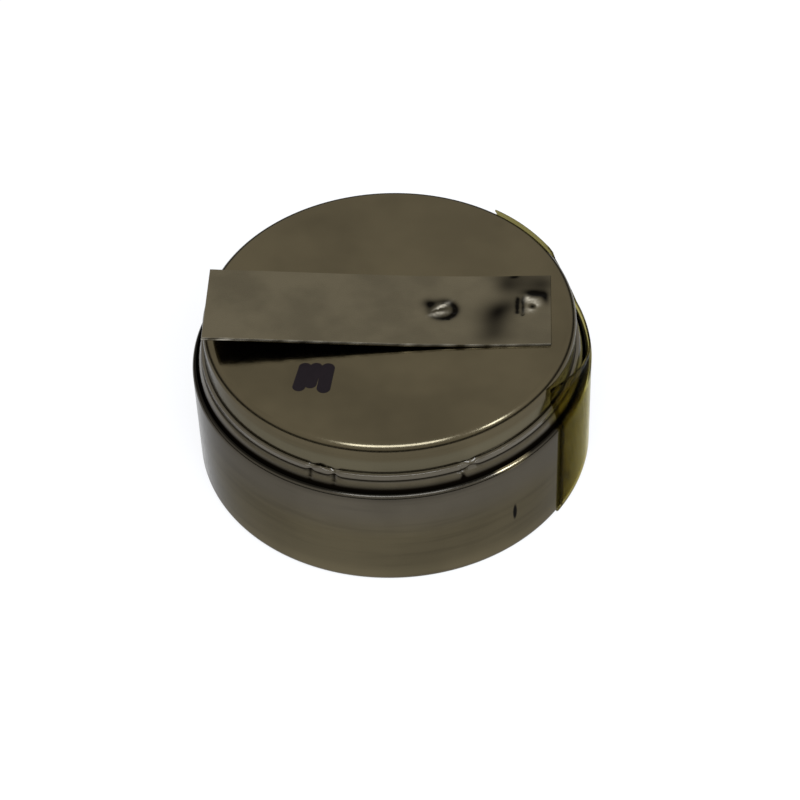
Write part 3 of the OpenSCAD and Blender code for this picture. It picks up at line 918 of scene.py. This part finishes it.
class MakeStage(bpy.types.Operator):
    """Pale floor, soft lamps, white surroundings and the camera"""
    bl_idname = "button_cell.stage"
    bl_label = "Stage"

    # Radius of the floor in metres, small so that reflections near the horizon see past it
    FLOOR_R = 28 * MM

    def execute(self, context):
        self.floor()
        self.surroundings(context.scene)
        self.lamps()
        self.camera(context.scene)
        context.scene.view_settings.view_transform = "Standard"
        return {"FINISHED"}

    def any_of(self, tree, *rays):
        """1 for rays of any of these kinds, and 0 for the others."""
        path = add_node(tree, "ShaderNodeLightPath").outputs
        found = path[rays[0]]
        for ray in rays[1:]:
            either = add_node(tree, "ShaderNodeMath", {0: found, 1: path[ray]}, operation="MAXIMUM")
            found = either.outputs["Value"]
        return found

    def floor(self):
        """A pale floor that keeps the cell's shadow and otherwise shows as white."""
        bm = bmesh.new()
        bmesh.ops.create_circle(bm, cap_ends=True, radius=self.FLOOR_R, segments=96)
        mesh = bpy.data.meshes.new("floor")
        bm.to_mesh(mesh)
        bm.free()
        floor = bpy.data.objects.new("floor", mesh)
        bpy.context.scene.collection.objects.link(floor)
        material = bpy.data.materials.new("pale_floor")
        material.use_nodes = True
        tree = material.node_tree
        shader = tree.nodes["Principled BSDF"]
        shader.inputs["Base Color"].default_value = (0.85, 0.85, 0.85, 1)
        shader.inputs["Roughness"].default_value = 0.9
        # Seen directly or in a reflection, most of the floor's tone is an even white
        glow = add_node(tree, "ShaderNodeEmission", None, {"Color": (1, 1, 1, 1), "Strength": 1.09})
        seen = self.any_of(tree, "Is Camera Ray", "Is Glossy Ray", "Is Transmission Ray")
        share = add_node(tree, "ShaderNodeMath", {0: seen}, {1: 0.72}, operation="MULTIPLY")
        mix = add_node(
            tree, "ShaderNodeMixShader",
            {0: share.outputs["Value"], 1: shader.outputs["BSDF"], 2: glow.outputs["Emission"]})
        tree.links.new(mix.outputs["Shader"], tree.nodes["Material Output"].inputs["Surface"])
        mesh.materials.append(material)

    def surroundings(self, scene):
        """Plain white behind the cell, white with a dark low band in reflections, and a soft even light."""
        world = scene.world or bpy.data.worlds.new("World")
        scene.world = world
        world.use_nodes = True
        tree = world.node_tree
        ray = add_node(tree, "ShaderNodeTexCoord").outputs["Generated"]
        height = add_node(tree, "ShaderNodeSeparateXYZ", {"Vector": ray}).outputs["Z"]
        # Dark near the horizon, which draws the dark line under the lid's bright edge
        band = spread(tree, height, 0.08, 0.25, 0.12, 1.0)
        # Reflections see the band, and the rays that light the cell see a dimmer, even white
        mirrored = add_node(
            tree, "ShaderNodeMapRange", {"Value": self.any_of(tree, "Is Glossy Ray"), "To Max": band},
            {"To Min": 0.55}).outputs["Result"]
        direct = self.any_of(tree, "Is Camera Ray", "Is Transmission Ray")
        strength = add_node(
            tree, "ShaderNodeMapRange", {"Value": direct, "To Min": mirrored}, {"To Max": 1.0})
        tree.links.new(strength.outputs["Result"], tree.nodes["Background"].inputs["Strength"])
        tree.nodes["Background"].inputs["Color"].default_value = (1, 1, 1, 1)

    def lamps(self):
        """A long lamp in front and above, which draws the bright line on the lid's edge, and a small one."""
        # Name, place and size in metres, and power in watts
        panels = (
            ("panel_front", (0.0, -0.1, 0.125), (0.12, 0.042), 0.26),
            ("panel_right", (0.115, -0.07, 0.09), (0.03, 0.03), 0.07),
        )
        for name, place, size, power in panels:
            lamp = bpy.data.lights.new(name, "AREA")
            lamp.shape = "RECTANGLE"
            lamp.size, lamp.size_y = size
            lamp.energy = power
            # A cool white, because the metals warm what they reflect
            lamp.color = (0.74, 0.82, 1.0)
            holder = bpy.data.objects.new(name, lamp)
            holder.location = place
            aim = Vector((0, 0, 0.004)) - Vector(place)
            holder.rotation_euler = aim.to_track_quat("-Z", "Y").to_euler()
            bpy.context.scene.collection.objects.link(holder)

    def camera(self, scene):
        """The photograph's viewing angle, from in front and 45 degrees above, fitted to its outline."""
        # Focal length and width of the photograph in pixels, and the camera's roll in degrees
        focal_px, photo_px, roll = 2515.2, 800, -2.3
        camera = bpy.data.cameras.new("camera")
        camera.sensor_width = 36
        camera.lens = camera.sensor_width * focal_px / photo_px
        camera.clip_start = 0.001
        camera.clip_end = 10
        holder = bpy.data.objects.new("camera", camera)
        place = Vector((0.0037, -54.9, 57.27)) * MM
        aim = Vector((0.224, -1.097, 2.7)) * MM
        look = (aim - place).to_track_quat("-Z", "Y").to_matrix().to_4x4()
        holder.matrix_world = Matrix.Translation(place) @ look @ Matrix.Rotation(math.radians(roll), 4, "Z")
        scene.collection.objects.link(holder)
        scene.camera = holder


OPERATORS = (
    MakeLid, MakeCup, MakeSeal, MakeTab, MakeSideFilm, MakeMarks, DressInnerPieces, MakeStage)


class CellPanel(bpy.types.Panel):
    """Lists the cell's settings and the steps that make it"""
    bl_idname = "VIEW3D_PT_button_cell"
    bl_label = "Button cell"
    bl_space_type = "VIEW_3D"
    bl_region_type = "UI"
    bl_category = "Button Cell"

    def draw(self, context):
        for setting in SETTINGS:
            box = self.layout.box()
            group = getattr(context.scene, setting)
            for key in group.__annotations__:
                box.prop(group, key)
        for operator in OPERATORS:
            self.layout.operator(operator.bl_idname)


CLASSES = tuple(SETTINGS.values()) + OPERATORS + (CellPanel,)


def register():
    for cls in CLASSES:
        bpy.utils.register_class(cls)
    for name, group in SETTINGS.items():
        setattr(bpy.types.Scene, name, bpy.props.PointerProperty(type=group))


def unregister():
    for name in SETTINGS:
        delattr(bpy.types.Scene, name)
    for cls in reversed(CLASSES):
        bpy.utils.unregister_class(cls)


def main():
    register()
    for operator in OPERATORS:
        family, step = operator.bl_idname.split(".")
        getattr(getattr(bpy.ops, family), step)()


if __name__ == "__main__":
    main()
